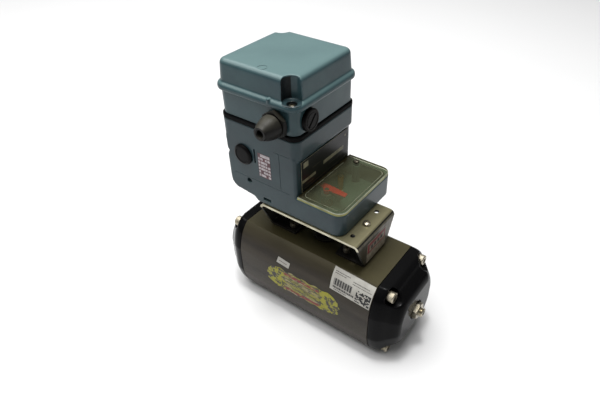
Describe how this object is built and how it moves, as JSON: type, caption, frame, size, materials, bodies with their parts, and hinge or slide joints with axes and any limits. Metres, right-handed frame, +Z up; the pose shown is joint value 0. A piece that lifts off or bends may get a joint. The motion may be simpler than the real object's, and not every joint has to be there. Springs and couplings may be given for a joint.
{
  "type": "rotary pneumatic actuator",
  "caption": "Quarter-turn rack-and-pinion pneumatic cylinder with a valve positioner on a sheet bracket, red position pointer under a clear window.",
  "frame": {"origin": "middle of the overall length and depth, on the surface that the cylinder stands on", "axes": "+X along the cylinder, towards the end under the window; +Z up along the pinion; +Y away from the side with the cable gland. The pinion axis is at x 0, y -5.5 mm."},
  "size_m": [0.2816, 0.143, 0.322],
  "materials": {
    "anodised_body": "hard anodised olive brown, matt, slightly blotched",
    "black_enamel": "gloss black enamel on cast aluminium",
    "bolt_steel": "bright zinc-plated or stainless steel",
    "shaft_steel": "oiled dark steel",
    "bracket_steel": "stainless sheet, warm grey, scuffed",
    "cast_aluminium": "machined cast aluminium",
    "teal_paint": "blue-grey satin paint with a light orange peel",
    "black_rubber": "black nitrile rubber",
    "black_plastic": "black moulded plastic",
    "grey_plastic": "dark grey polyamide, worn",
    "plate_print": "black plate with cream fields",
    "clear_window": "clear plastic, yellowed at the edges",
    "red_plastic": "red moulded pointer",
    "brass": "brushed brass",
    "bronze": "sintered bronze",
    "white_plastic": "white acetal",
    "green_plastic": "green moulded plastic"
  },
  "bodies": {
    "housing": {"cylinder_body": "anodised_body", "end_cap_right": "black_enamel", "end_cap_left": "black_enamel", "cap_bolt_right_1": "bolt_steel", "cap_bolt_right_2": "bolt_steel", "cap_bolt_right_3": "bolt_steel", "cap_bolt_right_4": "bolt_steel", "cap_bolt_left_1": "bolt_steel", "cap_bolt_left_2": "bolt_steel", "cap_bolt_left_3": "bolt_steel", "cap_bolt_left_4": "bolt_steel", "stop_screw_right": "bolt_steel", "stop_screw_left": "bolt_steel", "stop_nut_right": "bolt_steel", "stop_nut_left": "bolt_steel", "upper_bush": "bronze", "lower_bush": "bronze", "thrust_washer": "white_plastic", "mounting_bracket": "bracket_steel", "bracket_screw_1": "bolt_steel", "bracket_screw_2": "bolt_steel", "bracket_screw_3": "bolt_steel", "bracket_screw_4": "bolt_steel", "positioner_screw_1": "bolt_steel", "positioner_screw_2": "bolt_steel", "positioner_screw_3": "bolt_steel", "positioner_screw_4": "bolt_steel", "strip_screw": "bolt_steel", "positioner_housing": "teal_paint", "window_cover": "clear_window", "window_screw": "bolt_steel", "nameplate": "plate_print", "shaft_bush": "bronze", "lever_post": "bolt_steel", "current_converter": "cast_aluminium", "pilot_relay": "green_plastic", "box_gasket": "black_rubber", "terminal_box": "teal_paint", "terminal_block": "grey_plastic", "top_cover": "teal_paint", "cover_screw_front": "bolt_steel", "cover_screw_back": "bolt_steel", "gland_body": "grey_plastic", "gland_nut": "grey_plastic", "gland_seal": "black_rubber", "side_plug": "black_plastic", "blanking_plug": "black_plastic"},
    "shaft": {"pinion_shaft": "shaft_steel", "retaining_ring": "shaft_steel", "drive_coupling": "black_plastic", "feedback_shaft": "bolt_steel", "feedback_cam": "cast_aluminium", "pointer": "red_plastic"},
    "right_piston_set": {"piston_right": "cast_aluminium", "piston_seal_right": "black_rubber"},
    "left_piston_set": {"piston_left": "cast_aluminium", "piston_seal_left": "black_rubber"},
    "lever": {"follower_lever": "brass", "cam_roller": "white_plastic"}
  },
  "joints": [
    {"name": "shaft_turn", "type": "hinge", "parent": "housing", "child": "shaft", "pos_m": [0, -0.0055, 0.112], "axis": [0, 0, 1], "range_deg": [-45, 45]},
    {"name": "piston_right_slide", "type": "slide", "parent": "housing", "child": "right_piston_set", "axis": [1, 0, 0], "range_m": [-0.0127, 0.0127]},
    {"name": "piston_left_slide", "type": "slide", "parent": "housing", "child": "left_piston_set", "axis": [-1, 0, 0], "range_m": [-0.0127, 0.0127]},
    {"name": "lever_swing", "type": "hinge", "parent": "housing", "child": "lever", "pos_m": [-0.006, 0.0325, 0.1724], "axis": [0, 0, 1], "range_deg": [-7, 7]}
  ],
  "couplings": [
    {"joint": "piston_right_slide", "follows": "shaft_turn", "m_per_rad": 0.016},
    {"joint": "piston_left_slide", "follows": "shaft_turn", "m_per_rad": 0.016},
    {"joint": "lever_swing", "follows": "shaft_turn", "ratio": 0.15}
  ]
}
